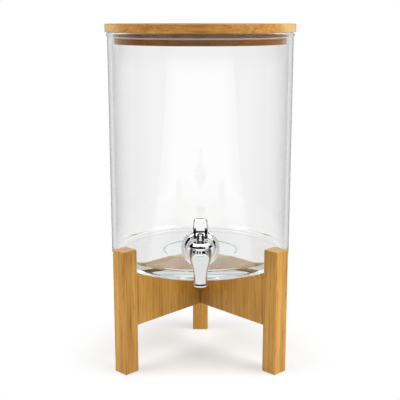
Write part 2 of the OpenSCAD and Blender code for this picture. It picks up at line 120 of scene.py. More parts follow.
# Sizes of the lid
LID_OVERHANG = 2.5 * MM
LID_EDGE = 0.6 * MM
PLUG_ROOM = 3 * MM
SEAL_ROOM = 0.3 * MM
SEAL_GROOVE = 4 * MM
SEAL_LIP = 1.3 * MM
# Shift of the lid's grain that puts a dark strip at the front: painted shade on the lid's front
LID_SHADE_GRAIN_SHIFT = 8 * MM
PLUG_GRAIN_SHIFT = 4 * MM
plug_radius = bore_radius - PLUG_ROOM
groove_radius = plug_radius - SEAL_GROOVE

# Sizes of the tap
RING_RADIUS = 18.25 * MM
RING_STEP_RADIUS = 14.75 * MM
RING_STEP_EDGE = 0.2 * MM
RING_EDGE = 0.8 * MM
EASED_EDGE = 0.3 * MM
SHANK_RADIUS = 8 * MM
PLAIN_SHANK = 12 * MM
NECK_RADIUS = 8.8 * MM
PASSAGE_RADIUS = 4.2 * MM
THREAD_PITCH = 1.5 * MM
THREAD_DEPTH = 0.6 * MM
OUTLET_RADIUS = 4.4 * MM
LIP_RADIUS = 6.9 * MM
LIP_HEIGHT = 1.2 * MM
FLARE_HEIGHT = 3.5 * MM
WAIST_RADIUS = 6.4 * MM
WAIST_HEIGHT = 9 * MM
BELLY_RADIUS = 10.5 * MM
BELLY_RISE = 3 * MM
BODY_TOP_RADIUS = 9.7 * MM
CHAMBER_RADIUS = 6.8 * MM
SEAT_DROP = 6 * MM
BONNET_RADIUS = 11.5 * MM
BONNET_RIM = 2.2 * MM
BONNET_SLOPE = 1 * MM
BONNET_ROUND = 0.5 * MM
LAND_RADIUS = 9 * MM
LAND_SLOPE = 1 * MM
LAND_DROP = 0.5 * MM
STEM_RADIUS = 2 * MM
HEAD_RADIUS = 3.3 * MM
HEAD_ROUND = 2 * MM
LEVER_WIDTH = 14.6 * MM
LEVER_TOP_WIDTH = 12 * MM
LEVER_THICK = 6 * MM
LEVER_CORNER = 4 * MM
LEVER_CROWN = 1.5 * MM
LEVER_DRAFT = 0.09
LEVER_SIDE_ROUND = 60 * MM
LEVER_TOP_EDGE = 0.5 * MM
LEVER_EDGE = 0.9 * MM
LEVER_EDGE_STEPS = 4
LEVER_SHARP_FROM = 40
FORK_HEIGHT = 9.6 * MM
SLOT_FRONT_HEIGHT = 7.2 * MM
SLOT_BACK_HEIGHT = 3.7 * MM
FORK_WIDTH = 8 * MM
SOLE_HEIGHT = 3.6 * MM
HEEL_LENGTH = 3.4 * MM
HEEL_ROUND = 3 * MM
BACK_ROUND = 6 * MM
KNEE_ROUND = 4 * MM
NOSE_ROUND = 0.6 * MM
BROW_ROOM = 0.05 * MM
CHEEK_ROOM = 0.2 * MM
PIN_RADIUS = 1.25 * MM
PIN_ROOM = 0.05 * MM
SPRING_WIRE_RADIUS = 0.4 * MM
SPRING_TURNS = 5
SPRING_TURN_STEPS = 32
SPRING_WIRE_SIDES = 12

# Sizes of the stand
LEG_EDGE = 0.9 * MM
ARM_EDGE = 0.5 * MM

# Steps round the turned pieces
JAR_STEPS = 256
LID_STEPS = 192
TAP_STEPS = 128
SHANK_STEPS = 96
SMALL_STEPS = 64
PIN_STEPS = 48


# Outlines

def spaced(start, stop, count):
    """count + 1 even values from start to stop."""
    return [start + (stop - start) * i / count for i in range(count + 1)]


def arc(centre, radius, start, stop, count=12):
    """Points on an arc, with its angles in degrees."""
    turns = [math.radians(a) for a in spaced(start, stop, count)]
    return [(centre[0] + radius * math.cos(a), centre[1] + radius * math.sin(a)) for a in turns]


def s_curve(start, stop, count):
    """Points of a smooth S from start to stop, upright at both ends."""
    points = []
    for t in spaced(0, 1, count):
        ease = (1 - math.cos(math.pi * t)) / 2
        points.append((start[0] + (stop[0] - start[0]) * ease, start[1] + (stop[1] - start[1]) * t))
    return points


def eased(corners, count=6, closed=False):
    """Points of an outline through corners (x, y, radius), each rounded by its radius."""
    points = []
    last = len(corners) - 1
    for i, (x, y, radius) in enumerate(corners):
        here = Vector((x, y))
        if radius == 0 or (not closed and i in (0, last)):
            points.append((x, y))
            continue
        before = (Vector(corners[i - 1][:2]) - here).normalized()
        after = (Vector(corners[(i + 1) % (last + 1)][:2]) - here).normalized()
        half = before.angle(after) / 2
        centre = here + (before + after).normalized() * (radius / math.sin(half))
        start = here + before * (radius / math.tan(half)) - centre
        stop = here + after * (radius / math.tan(half)) - centre
        sweep = start.angle_signed(stop)
        for t in spaced(0, 1, count):
            points.append(tuple(centre + Matrix.Rotation(-sweep * t, 2) @ start))
    return points


# Meshes

def lathe(outline, centre, axis=UP, across=RIGHT, closed=False, steps=TAP_STEPS):
    """A turned solid: the outline's points are (radius, distance along the axis from centre)."""
    bm = bmesh.new()
    ring = [bm.verts.new(centre + across * r + axis * h) for r, h in outline]
    edges = [bm.edges.new(pair) for pair in zip(ring, ring[1:])]
    if closed:
        edges.append(bm.edges.new((ring[-1], ring[0])))
    bmesh.ops.spin(bm, geom=ring + edges, cent=centre, axis=axis, angle=math.tau, steps=steps,
                   use_merge=True)
    bmesh.ops.remove_doubles(bm, verts=bm.verts, dist=MERGE)
    bmesh.ops.recalc_face_normals(bm, faces=bm.faces)
    return bm


def prism(outline, centre, across, along, sweep):
    """A solid of an outline of (across, along) points, extruded by sweep and centred on it."""
    bm = bmesh.new()
    ring = [bm.verts.new(centre + across * a + along * b - sweep / 2) for a, b in outline]
    face = bm.faces.new(ring)
    made = bmesh.ops.extrude_face_region(bm, geom=[face])["geom"]
    bmesh.ops.translate(bm, vec=sweep, verts=[v for v in made if isinstance(v, bmesh.types.BMVert)])
    bmesh.ops.recalc_face_normals(bm, faces=bm.faces)
    return bm


def bevel_edges(bm, width, segments):
    """Rounds all edges."""
    bmesh.ops.bevel(bm, geom=bm.edges[:], offset=width, offset_type="OFFSET", affect="EDGES",
                    segments=segments, profile=0.5, material=-1)
    return bm


def as_object(name, bm):
    """A linked object of the mesh, at the origin."""
    mesh = bpy.data.meshes.new(name)
    bm.to_mesh(mesh)
    bm.free()
    made = bpy.data.objects.new(name, mesh)
    bpy.context.scene.collection.objects.link(made)
    return made


def combine(base, operation, *others):
    """Cuts, joins or intersects the object with the other meshes, for good."""
    for bm in others:
        tool = as_object("tool", bm)
        modifier = base.modifiers.new("combine", "BOOLEAN")
        modifier.operation = operation
        modifier.solver = "EXACT"
        modifier.object = tool
        apply_modifiers(base)
        bpy.data.objects.remove(tool)
    return base


def apply_modifiers(base):
    """Keeps the shape that the object's modifiers give."""
    graph = bpy.context.evaluated_depsgraph_get()
    mesh = bpy.data.meshes.new_from_object(base.evaluated_get(graph))
    base.modifiers.clear()
    base.data = mesh


def mark_ends(made, fibre):
    """Stores on each face how squarely the wood's fibres meet it."""
    ends = made.data.attributes.new("end_grain", "FLOAT", "FACE")
    for face in made.data.polygons:
        ends.data[face.index].value = abs(face.normal.dot(fibre))
    return made


def finish_piece(made, material, body, slot, *nodes):
    """Gives a piece its shading, its material and its place on a body."""
    made.data.materials.clear()
    made.data.materials.append(material)
    made.data.shade_smooth()
    made.data.set_sharp_from_angle(angle=math.radians(SMOOTH_TO))
    made.modifiers.new("even_normals", "WEIGHTED_NORMAL").keep_sharp = True
    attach(made, body)
    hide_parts(*nodes)
    return made


# Shader helpers

def feed(tree, socket, value):
    """Links an output to a socket, or sets its value."""
    if isinstance(value, bpy.types.NodeSocket):
        tree.links.new(value, socket)
    else:
        socket.default_value = value


def add(tree, kind, settings=None, **inputs):
    """A node with its settings and its inputs, which are named with _ for each space."""
    made = tree.nodes.new(kind)
    for name, value in (settings or {}).items():
        setattr(made, name, value)
    for name, value in inputs.items():
        feed(tree, made.inputs[name.replace("_", " ")], value)
    return made


def maths(tree, operation, *values, clamp=False):
    """The output of a Math node."""
    made = add(tree, "ShaderNodeMath", {"operation": operation, "use_clamp": clamp})
    for socket, value in zip(made.inputs, values):
        feed(tree, socket, value)
    return made.outputs[0]


def ramp(tree, value, low, high, to_low=0.0, to_high=1.0):
    """The value moved smoothly from one range to another, clamped."""
    made = add(tree, "ShaderNodeMapRange", {"interpolation_type": "SMOOTHSTEP"})
    for name, given in (("Value", value), ("From Min", low), ("From Max", high),
                        ("To Min", to_low), ("To Max", to_high)):
        feed(tree, made.inputs[name], given)
    return made.outputs["Result"]


def blend(tree, factor, first, second):
    """The colour of a Mix node."""
    made = add(tree, "ShaderNodeMix", {"data_type": "RGBA"})
    feed(tree, made.inputs[0], factor)
    feed(tree, made.inputs[6], first)
    feed(tree, made.inputs[7], second)
    return made.outputs[2]


def stretched(tree, vector, across, along):
    """The vector scaled across the grain and along it."""
    made = add(tree, "ShaderNodeVectorMath", {"operation": "MULTIPLY"})
    feed(tree, made.inputs[0], vector)
    made.inputs[1].default_value = (across, across, along)
    return made.outputs[0]


def noise(tree, vector, scale=1.0, detail=2.0, roughness=0.5):
    """The value of a noise texture."""
    made = add(tree, "ShaderNodeTexNoise", Vector=vector, Scale=scale, Detail=detail, Roughness=roughness)
    return made.outputs[0]


def cell_noise(tree, vector):
    """The outputs of a white noise texture: a value and a colour for each place."""
    return add(tree, "ShaderNodeTexWhiteNoise", {"noise_dimensions": "3D"}, Vector=vector).outputs


def new_group(name, inputs, outputs):
    """A shader group with named sockets, and its tree, its inputs and its outputs."""
    tree = bpy.data.node_groups.new(name, "ShaderNodeTree")
    for label, kind, value in inputs:
        made = tree.interface.new_socket(label, in_out="INPUT", socket_type=kind)
        if value is not None:
            made.default_value = value
    for label, kind in outputs:
        tree.interface.new_socket(label, in_out="OUTPUT", socket_type=kind)
    return tree, tree.nodes.new("NodeGroupInput").outputs, tree.nodes.new("NodeGroupOutput").inputs


def new_material(name):
    """A material with its tree and its Principled shader."""
    material = bpy.data.materials.new(name)
    material.use_nodes = True
    tree = material.node_tree
    return material, tree, tree.nodes["Principled BSDF"]


def bump(tree, shader, height, distance, strength):
    """Feeds a height to the shader's normal."""
    made = add(tree, "ShaderNodeBump", Height=height, Distance=distance, Strength=strength)
    tree.links.new(made.outputs[0], shader.inputs["Normal"])


# Finishes: cells are counted per metre, and a band gives the values between which a pattern shows

FINE_CELLS = (1900, 26)
STREAK_CELLS = (480, 10)
DASH_CELLS = (760, 42)
CLOUD_CELLS = (110, 14)
PORE_CELLS = 560
FIBRE_BAND = (0.54, 0.70)
DASH_BAND = (0.62, 0.70)
PORE_BAND = (0.45, 0.68)
END_BAND = (0.7, 0.95)
CLOUD_SHARE = 1.2
FIBRE_SHARE = 0.5
DASH_SHARE = 0.7
PORE_SHARE = 0.5
SEAM_SHARE = 0.4
SEAM_WIDTH = 0.4 * MM
STRIP_SPREAD = 0.7
WOOD_ROUGHNESS = (0.3, 0.7, 0.36, 0.5)
WOOD_GLOSS = 0.45
WOOD_RELIEF = 0.06 * MM
WOOD_BUMP = 0.6


def bamboo_grain():
    """Laminated bamboo: strips side by side, jointed end to end, with fibres along the group's Z."""
    colour, value, vector = "NodeSocketColor", "NodeSocketFloat", "NodeSocketVector"
    tree, given, out = new_group(
        "bamboo_grain",
        [("Vector", vector, None), ("Strip Width", value, 0.02), ("Strip Depth", value, 0.02),
         ("Strip Length", value, 1.0), ("Tone", value, 0.5), ("Tone Spread", value, 0.3),
         ("Streak", value, 2.4), ("End Grain", value, 0.0), ("Light", colour, None),
         ("Dark", colour, None), ("Fibre", colour, None), ("End", colour, None)],
        [("Color", colour), ("Roughness", value), ("Height", value)])
    place = add(tree, "ShaderNodeSeparateXYZ", Vector=given["Vector"]).outputs
    across = maths(tree, "DIVIDE", place["X"], given["Strip Width"])
    deep = maths(tree, "DIVIDE", place["Y"], given["Strip Depth"])
    column = maths(tree, "FLOOR", across)
    row = maths(tree, "FLOOR", deep)
    strip = add(tree, "ShaderNodeCombineXYZ", X=column, Y=row)
    offset = cell_noise(tree, strip.outputs[0])
    along = maths(tree, "ADD", maths(tree, "DIVIDE", place["Z"], given["Strip Length"]), offset["Value"])
    length = add(tree, "ShaderNodeCombineXYZ", X=column, Y=row, Z=maths(tree, "FLOOR", along))
    chance = cell_noise(tree, length.outputs[0])

    own = add(tree, "ShaderNodeVectorMath", {"operation": "ADD"})
    feed(tree, own.inputs[0], given["Vector"])
    feed(tree, own.inputs[1], chance["Color"])
    fine = noise(tree, stretched(tree, own.outputs[0], *FINE_CELLS), detail=3, roughness=0.6)
    streak = noise(tree, stretched(tree, own.outputs[0], *STREAK_CELLS), detail=3, roughness=0.6)
    dash = noise(tree, stretched(tree, own.outputs[0], *DASH_CELLS), detail=2)
    cloud = noise(tree, stretched(tree, own.outputs[0], *CLOUD_CELLS), detail=2)

    tone = maths(tree, "MULTIPLY", maths(tree, "SUBTRACT", chance["Value"], 0.5), given["Tone Spread"])
    streaks = maths(tree, "MULTIPLY", maths(tree, "SUBTRACT", streak, 0.5), given["Streak"])
    tone = maths(tree, "ADD", tone, streaks)
    clouds = maths(tree, "MULTIPLY", maths(tree, "SUBTRACT", cloud, 0.5), CLOUD_SHARE)
    tone = maths(tree, "ADD", tone, clouds)
    tone = maths(tree, "ADD", tone, given["Tone"], clamp=True)
    wood = blend(tree, tone, given["Light"], given["Dark"])
    fibres = ramp(tree, fine, *FIBRE_BAND)
    wood = blend(tree, maths(tree, "MULTIPLY", fibres, FIBRE_SHARE), wood, given["Fibre"])
    dashes = ramp(tree, dash, *DASH_BAND)
    wood = blend(tree, maths(tree, "MULTIPLY", dashes, DASH_SHARE), wood, given["Fibre"])
    pores = noise(tree, given["Vector"], scale=PORE_CELLS, detail=4, roughness=0.65)
    pores = maths(tree, "MULTIPLY", ramp(tree, pores, *PORE_BAND), PORE_SHARE)
    cut = blend(tree, pores, given["End"], given["Dark"])
    wood = blend(tree, ramp(tree, given["End Grain"], *END_BAND), wood, cut)

    edges = []
    for cells, size in ((across, "Strip Width"), (deep, "Strip Depth"), (along, "Strip Length")):
        side = maths(tree, "ABSOLUTE", maths(tree, "SUBTRACT", maths(tree, "FRACT", cells), 0.5))
        edges.append(maths(tree, "MULTIPLY", maths(tree, "SUBTRACT", 0.5, side), given[size]))
    seam_at = maths(tree, "MINIMUM", maths(tree, "MINIMUM", edges[0], edges[1]), edges[2])
    seam = ramp(tree, seam_at, 0.0, SEAM_WIDTH, 1.0, 0.0)
    wood = blend(tree, maths(tree, "MULTIPLY", seam, SEAM_SHARE), wood, given["Fibre"])
    feed(tree, out["Color"], wood)
    feed(tree, out["Roughness"], ramp(tree, fine, *WOOD_ROUGHNESS))
    feed(tree, out["Height"], maths(tree, "SUBTRACT", 1.0, maths(tree, "MAXIMUM", fibres, seam)))
    return tree


bamboo_group = bamboo_grain()
HONEY = {"Light": (0.580, 0.305, 0.060, 1), "Dark": (0.350, 0.152, 0.014, 1),
         "Fibre": (0.180, 0.066, 0.005, 1), "End": (0.650, 0.410, 0.170, 1)}
AMBER = {"Light": (0.560, 0.280, 0.048, 1), "Dark": (0.270, 0.104, 0.007, 1),
         "Fibre": (0.130, 0.045, 0.003, 1), "End": (0.680, 0.440, 0.200, 1)}
# The plug's bamboo, darkened as painted shade for the plug in the lid's shadow inside the glass
PAINTED_SHADE_UMBER = {"Light": (0.265, 0.092, 0.008, 1), "Dark": (0.128, 0.037, 0.002, 1),
         "Fibre": (0.070, 0.024, 0.002, 1), "End": (0.330, 0.180, 0.045, 1)}

# Width, depth and length of the strips of each kind of piece, and its tone and its streaks
LID_STRIPS = (1, 0.023, 0.16)
LEG_STRIPS = (leg_width / 3, 0.05, 1)
ARM_STRIPS = (0.019, 0.05, 1)
DOWEL_STRIPS = (0.03, 0.03, 1)
MIDDLE_TONE = 0.5
# The lid's darker tone is painted shade on its front
LID_SHADE_TONE = 0.6
ARM_TONE = 0.65
LID_STREAK = 2.4
LEG_STREAK = 1.3
ARM_STREAK = 1.8


def bamboo(name, centre, turn, strips, tone=MIDDLE_TONE, colours=HONEY, streak=LID_STREAK):
    """Bamboo with its grain turned to a piece: strips are its strips' width, depth and length."""
    material, tree, shader = new_material(name)
    place = add(tree, "ShaderNodeTexCoord").outputs["Object"]
    mapping = add(tree, "ShaderNodeMapping", {"vector_type": "TEXTURE"}, Vector=place)
    mapping.inputs["Location"].default_value = centre
    mapping.inputs["Rotation"].default_value = [math.radians(a) for a in turn]
    ends = add(tree, "ShaderNodeAttribute", {"attribute_name": "end_grain"})
    grain = add(tree, "ShaderNodeGroup", {"node_tree": bamboo_group}, Vector=mapping.outputs[0],
                Strip_Width=strips[0], Strip_Depth=strips[1], Strip_Length=strips[2], Tone=tone,
                Tone_Spread=STRIP_SPREAD, Streak=streak, End_Grain=ends.outputs["Fac"], **colours)
    feed(tree, shader.inputs["Base Color"], grain.outputs["Color"])
    feed(tree, shader.inputs["Roughness"], grain.outputs["Roughness"])
    shader.inputs["Specular IOR Level"].default_value = WOOD_GLOSS
    bump(tree, shader, grain.outputs["Height"], WOOD_RELIEF, WOOD_BUMP)
    return material


CHROME_TINTS = ((0.90, 0.905, 0.91, 1), (0.95, 0.95, 0.955, 1))
CHROME_CELLS = 220
CHROME_ROUGHNESS = (0.3, 0.8, 0.015, 0.06)
# Near-black colour of the fork's slot: painted shade
SLOT_PAINTED_SHADE = (0.03, 0.03, 0.03, 1)
HOLLOW_ROUGHNESS = 0.45
STEEL_TINTS = ((0.50, 0.51, 0.52, 1), (0.68, 0.69, 0.70, 1))
STEEL_CELLS = (300, 9000)
STEEL_ROUGHNESS = (0.3, 0.7, 0.22, 0.4)
STEEL_RELIEF = 0.02 * MM
STEEL_BUMP = 0.5
SILICONE_TINTS = ((0.74, 0.71, 0.64, 1), (0.82, 0.79, 0.72, 1))
SILICONE_CELLS = 260
SILICONE_ROUGHNESS = (0.3, 0.7, 0.32, 0.48)
SILICONE_RELIEF = 0.03 * MM
SILICONE_BUMP = 0.4
GLASS_CELLS = 40
GLASS_ROUGHNESS = (0.5, 0.9, 0.0, 0.004)
GLASS_SHADE = (0.93, 0.95, 0.94, 1)
GLASS_BODY = (0.45, 0.55, 0.52, 1)
GLASS_DENSITY = 3
DEEPEST_RAY = (5.4, 5.6)


def chrome():
    """Mirror chrome with faint polishing haze; the faces in the fork's slot are coloured near-black as painted
    shade, and rougher.
    """
    material, tree, shader = new_material("chrome")
    place = add(tree, "ShaderNodeTexCoord").outputs["Object"]
    haze = noise(tree, place, scale=CHROME_CELLS, detail=4, roughness=0.6)
    hollow = add(tree, "ShaderNodeAttribute", {"attribute_name": "hollow"}).outputs["Fac"]
    bright = blend(tree, haze, *CHROME_TINTS)
    # Painted shade: the slot's faces are coloured near-black
    feed(tree, shader.inputs["Base Color"], blend(tree, hollow, bright, SLOT_PAINTED_SHADE))
    polish = ramp(tree, haze, *CHROME_ROUGHNESS)
    dull = maths(tree, "MULTIPLY", hollow, HOLLOW_ROUGHNESS)
    feed(tree, shader.inputs["Roughness"], maths(tree, "MAXIMUM", polish, dull))
    shader.inputs["Metallic"].default_value = 1
    return material


def steel():
    """Turned steel with fine tool marks."""
    material, tree, shader = new_material("steel")
    place = add(tree, "ShaderNodeTexCoord").outputs["Object"]
    marks = noise(tree, stretched(tree, place, *STEEL_CELLS), detail=2)
    feed(tree, shader.inputs["Base Color"], blend(tree, marks, *STEEL_TINTS))
    feed(tree, shader.inputs["Roughness"], ramp(tree, marks, *STEEL_ROUGHNESS))
    shader.inputs["Metallic"].default_value = 1
    bump(tree, shader, marks, STEEL_RELIEF, STEEL_BUMP)
    return material


def silicone():
    """Milky soft silicone."""
    material, tree, shader = new_material("silicone")
    place = add(tree, "ShaderNodeTexCoord").outputs["Object"]
    cloud = noise(tree, place, scale=SILICONE_CELLS, detail=3)
    feed(tree, shader.inputs["Base Color"], blend(tree, cloud, *SILICONE_TINTS))
    feed(tree, shader.inputs["Roughness"], ramp(tree, cloud, *SILICONE_ROUGHNESS))
    shader.inputs["Transmission Weight"].default_value = 0.35
    shader.inputs["IOR"].default_value = 1.41
    bump(tree, shader, cloud, SILICONE_RELIEF, SILICONE_BUMP)
    return material


def clear_glass():
    """Clear glass with a faint grey-green body, which lets lamplight through."""
    material, tree, shader = new_material("clear_glass")
    place = add(tree, "ShaderNodeTexCoord").outputs["Object"]
    film = noise(tree, place, scale=GLASS_CELLS, detail=4, roughness=0.6)
    feed(tree, shader.inputs["Roughness"], ramp(tree, film, *GLASS_ROUGHNESS))
    shader.inputs["Base Color"].default_value = (1, 1, 1, 1)
    shader.inputs["Transmission Weight"].default_value = 1
    shader.inputs["IOR"].default_value = 1.5
    clear = add(tree, "ShaderNodeBsdfTransparent")
    clear.inputs["Color"].default_value = GLASS_SHADE
    light = add(tree, "ShaderNodeLightPath").outputs
    passing = maths(tree, "ADD", light["Is Shadow Ray"], light["Diffuse Depth"])
    passing = maths(tree, "ADD", passing, ramp(tree, light["Ray Depth"], *DEEPEST_RAY), clamp=True)
    mix = add(tree, "ShaderNodeMixShader")
    feed(tree, mix.inputs[0], passing)
    feed(tree, mix.inputs[1], shader.outputs[0])
    feed(tree, mix.inputs[2], clear.outputs[0])
    body = add(tree, "ShaderNodeVolumeAbsorption")
    body.inputs["Color"].default_value = GLASS_BODY
    body.inputs["Density"].default_value = GLASS_DENSITY
    output = tree.nodes["Material Output"]
    feed(tree, output.inputs["Surface"], mix.outputs[0])
    feed(tree, output.inputs["Volume"], body.outputs[0])
    return material


glass_look = clear_glass()
chrome_look = chrome()
steel_look = steel()
silicone_look = silicone()
dowel_look = bamboo("dowel_wood", (0, 0, 0), (0, 0, 0), DOWEL_STRIPS)


# Jar

def make_jar():
    """The glass: a straight wall with a rounded rim, a thick base with a hollow under it, and a tap hole."""
    height = jar_top - jar_bottom
    rim = (GLASS_WALL + RIM_OUT) / 2
    rim_centre = (bore_radius + rim, height - rim)
    rim_join = math.degrees(math.acos((GLASS_RADIUS - rim_centre[0]) / rim))
    outline = eased([(0, PUNT_DEPTH, 0), (PUNT_RADIUS - PUNT_DEPTH, PUNT_DEPTH, PUNT_DEPTH),
                     (PUNT_RADIUS, 0, PUNT_DEPTH), (GLASS_RADIUS, 0, HEEL_RADIUS),
                     (GLASS_RADIUS, height, 0)], count=10)[:-1]
    outline += arc(rim_centre, rim, -rim_join, 180, 20)
    outline += eased([(bore_radius, height, 0), (bore_radius, GLASS_BASE, CORNER_RADIUS),
                      (0, GLASS_BASE, 0)], count=10)[1:]
    jar = as_object("jar_glass", lathe(outline, jar_axis + UP * jar_bottom, steps=JAR_STEPS))
    outline = [(0, -GLASS_WALL), (TAP_HOLE_RADIUS, -GLASS_WALL), (TAP_HOLE_RADIUS, GLASS_WALL),
               (0, GLASS_WALL)]
    wall_middle = shank_axis + BACK * (axis_y - GLASS_RADIUS + GLASS_WALL / 2)
    hole = lathe(outline, wall_middle, BACK, RIGHT, steps=SMALL_STEPS)
    combine(jar, "DIFFERENCE", hole)
    return finish_piece(jar, glass_look, "jar", "glass", "glass_jar")


make_jar()


# Lid

def make_lid():
    """The board on top, the plug under it and the seal in the plug's groove."""
    radius = GLASS_RADIUS + LID_OVERHANG
    grain_turn = (0, 90, 0)
    outline = eased([(0, lid_bottom, 0), (radius, lid_bottom, LID_EDGE), (radius, lid_top, LID_EDGE),
                     (0, lid_top, 0)], count=5)
    board = lathe(outline, jar_axis, steps=LID_STEPS)
    board = mark_ends(as_object("lid_board", board), RIGHT)
    # Darker tone and a dark front strip: painted shade on the lid's front
    grain_centre = jar_axis + BACK * LID_SHADE_GRAIN_SHIFT
    lid_grain = bamboo("lid_bamboo", grain_centre, grain_turn, LID_STRIPS, LID_SHADE_TONE, AMBER)
    finish_piece(board, lid_grain, "lid", "bamboo", "lid_top")

    outline = eased([(0, plug_bottom, 0), (plug_radius, plug_bottom, LID_EDGE),
                     (plug_radius, seal_bottom, 0), (groove_radius, seal_bottom, 0),
                     (groove_radius, seal_top, 0), (plug_radius, seal_top, 0),
                     (plug_radius, lid_bottom, 0), (0, lid_bottom, 0)], count=5)
    plug = lathe(outline, jar_axis, steps=LID_STEPS)
    plug = mark_ends(as_object("lid_plug_board", plug), RIGHT)
    # The plug's darker bamboo is painted shade
    grain_centre = jar_axis - BACK * PLUG_GRAIN_SHIFT
    plug_shaded_grain = bamboo("plug_bamboo_painted_shade", grain_centre, grain_turn, LID_STRIPS, MIDDLE_TONE, PAINTED_SHADE_UMBER)
    finish_piece(plug, plug_shaded_grain, "lid", "bamboo", "lid_plug")

    lip = SEAL_LIP / 2
    outline = [(groove_radius, seal_bottom), (groove_radius, seal_top)]
    outline += arc((bore_radius - SEAL_ROOM - lip, seal_top - lip), lip, 90, -90)
    outline += [(plug_radius - lip, seal_top - SEAL_LIP), (plug_radius - lip, seal_bottom)]
    seal = lathe(outline, jar_axis, closed=True, steps=LID_STEPS)
    finish_piece(as_object("lid_seal_ring", seal), silicone_look, "lid", "silicone", "lid_seal")


make_lid()


# Tap

def make_tap_ring():
    """The stepped ring between the spout's neck and the glass."""
    thick = ring_back - ring_front
    edge = RING_EDGE
    step_front = thick / 2 + edge
    step_inside = RING_STEP_RADIUS - 3 * edge
    outline = eased([(SHANK_RADIUS, 0, 0), (RING_RADIUS, 0, EASED_EDGE), (RING_RADIUS, edge, EASED_EDGE),
                     (RING_STEP_RADIUS + edge, edge, RING_STEP_EDGE),
                     (RING_STEP_RADIUS - edge, step_front, EASED_EDGE), (step_inside, step_front, 0)])[:-1]
    outline += s_curve((step_inside, step_front), (NECK_RADIUS + edge, thick), 10)
    outline += [(SHANK_RADIUS, thick)]
    ring = lathe(outline, shank_axis + BACK * ring_back, -BACK, RIGHT, closed=True)
    return finish_piece(as_object("tap_ring", ring), chrome_look, "jar", "chrome", "escutcheon")


def make_spout():
    """The spout with its neck and the threaded shank behind it."""
    waist = spout_tip + WAIST_HEIGHT
    belly = shank_z + BELLY_RISE
    seat = shank_z - SEAT_DROP
    outline = [(OUTLET_RADIUS, seat), (OUTLET_RADIUS, spout_tip)]
    outline += arc((LIP_RADIUS - LIP_HEIGHT / 2, spout_tip + LIP_HEIGHT / 2), LIP_HEIGHT / 2, -90, 0, 8)
    outline += s_curve((LIP_RADIUS, spout_tip + LIP_HEIGHT), (WAIST_RADIUS, spout_tip + FLARE_HEIGHT), 12)
    outline += s_curve((WAIST_RADIUS, waist), (BELLY_RADIUS, belly), 28)
    outline += s_curve((BELLY_RADIUS, belly), (BODY_TOP_RADIUS, body_top), 10)[1:]
    outline += [(CHAMBER_RADIUS, body_top), (CHAMBER_RADIUS, seat)]
    spout = as_object("spout", lathe(outline, spout_axis, closed=True))

    plain_end = ring_back + PLAIN_SHANK
    turns = int((shank_end - plain_end) / THREAD_PITCH)
    outline = [(PASSAGE_RADIUS, CHAMBER_RADIUS), (NECK_RADIUS, CHAMBER_RADIUS),
               (NECK_RADIUS, ring_front - pin.y), (SHANK_RADIUS, ring_front - pin.y)]
    for turn in range(turns):
        foot = plain_end - pin.y + turn * THREAD_PITCH
        outline += [(SHANK_RADIUS, foot), (SHANK_RADIUS - THREAD_DEPTH, foot + THREAD_PITCH / 2)]
    outline += [(SHANK_RADIUS - THREAD_DEPTH, shank_end - pin.y), (PASSAGE_RADIUS, shank_end - pin.y)]
    neck = lathe(outline, spout_axis + shank_axis, BACK, RIGHT, closed=True, steps=SHANK_STEPS)
    combine(spout, "UNION", neck)
    return finish_piece(spout, chrome_look, "jar", "chrome", "tap_body")


def make_bonnet():
    """The cap that closes the valve chamber."""
    outline = eased([(CHAMBER_RADIUS, body_top, 0), (BONNET_RADIUS, body_top, EASED_EDGE),
                     (BONNET_RADIUS - BONNET_SLOPE, body_top + BONNET_RIM, BONNET_ROUND),
                     (LAND_RADIUS, bonnet_top - LAND_DROP, LAND_SLOPE),
                     (LAND_RADIUS - LAND_SLOPE, bonnet_top, BONNET_ROUND),
                     (STEM_RADIUS, bonnet_top, 0)], count=8)
    outline += [(STEM_RADIUS, body_top)]
    bonnet = lathe(outline, spout_axis, closed=True)
    return finish_piece(as_object("valve_bonnet", bonnet), chrome_look, "jar", "chrome", "bonnet")


def make_stem_head():
    """The round head that the lever is pinned to."""
    outline = eased([(0, head_bottom, 0), (HEAD_RADIUS, head_bottom, EASED_EDGE),
                     (HEAD_RADIUS, head_top, HEAD_ROUND), (0, head_top, 0)], count=10)
    head = lathe(outline, spout_axis, steps=SMALL_STEPS)
    finish_piece(as_object("stem_cap", head), chrome_look, "stem", "chrome", "stem_head")


def cam_point(turn):
    """A point of the lever's sole: its distance from the pin grows evenly with the turn."""
    a = math.radians(turn)
    slope = lift / math.radians(pull)
    reach = SOLE_HEIGHT + lift * turn / pull
    return (-reach * math.sin(a) - slope * math.cos(a), -reach * math.cos(a) + slope * math.sin(a))


def mark_hollow(lever):
    """Stores on each face of the lever whether it lies in the fork's slot, which the chrome colours with painted
    shade.
    """
    hollow = lever.data.attributes.new("hollow", "FLOAT", "FACE")
    for face in lever.data.polygons:
        cheek = abs(face.normal.x) > 0.9 and abs(abs(face.center.x) - FORK_WIDTH / 2) < CHEEK_ROOM
        roof = face.normal.z < -0.5 and abs(face.center.x) < FORK_WIDTH / 2 and face.center.z > pin.z
        hollow.data[face.index].value = float(cheek or roof)


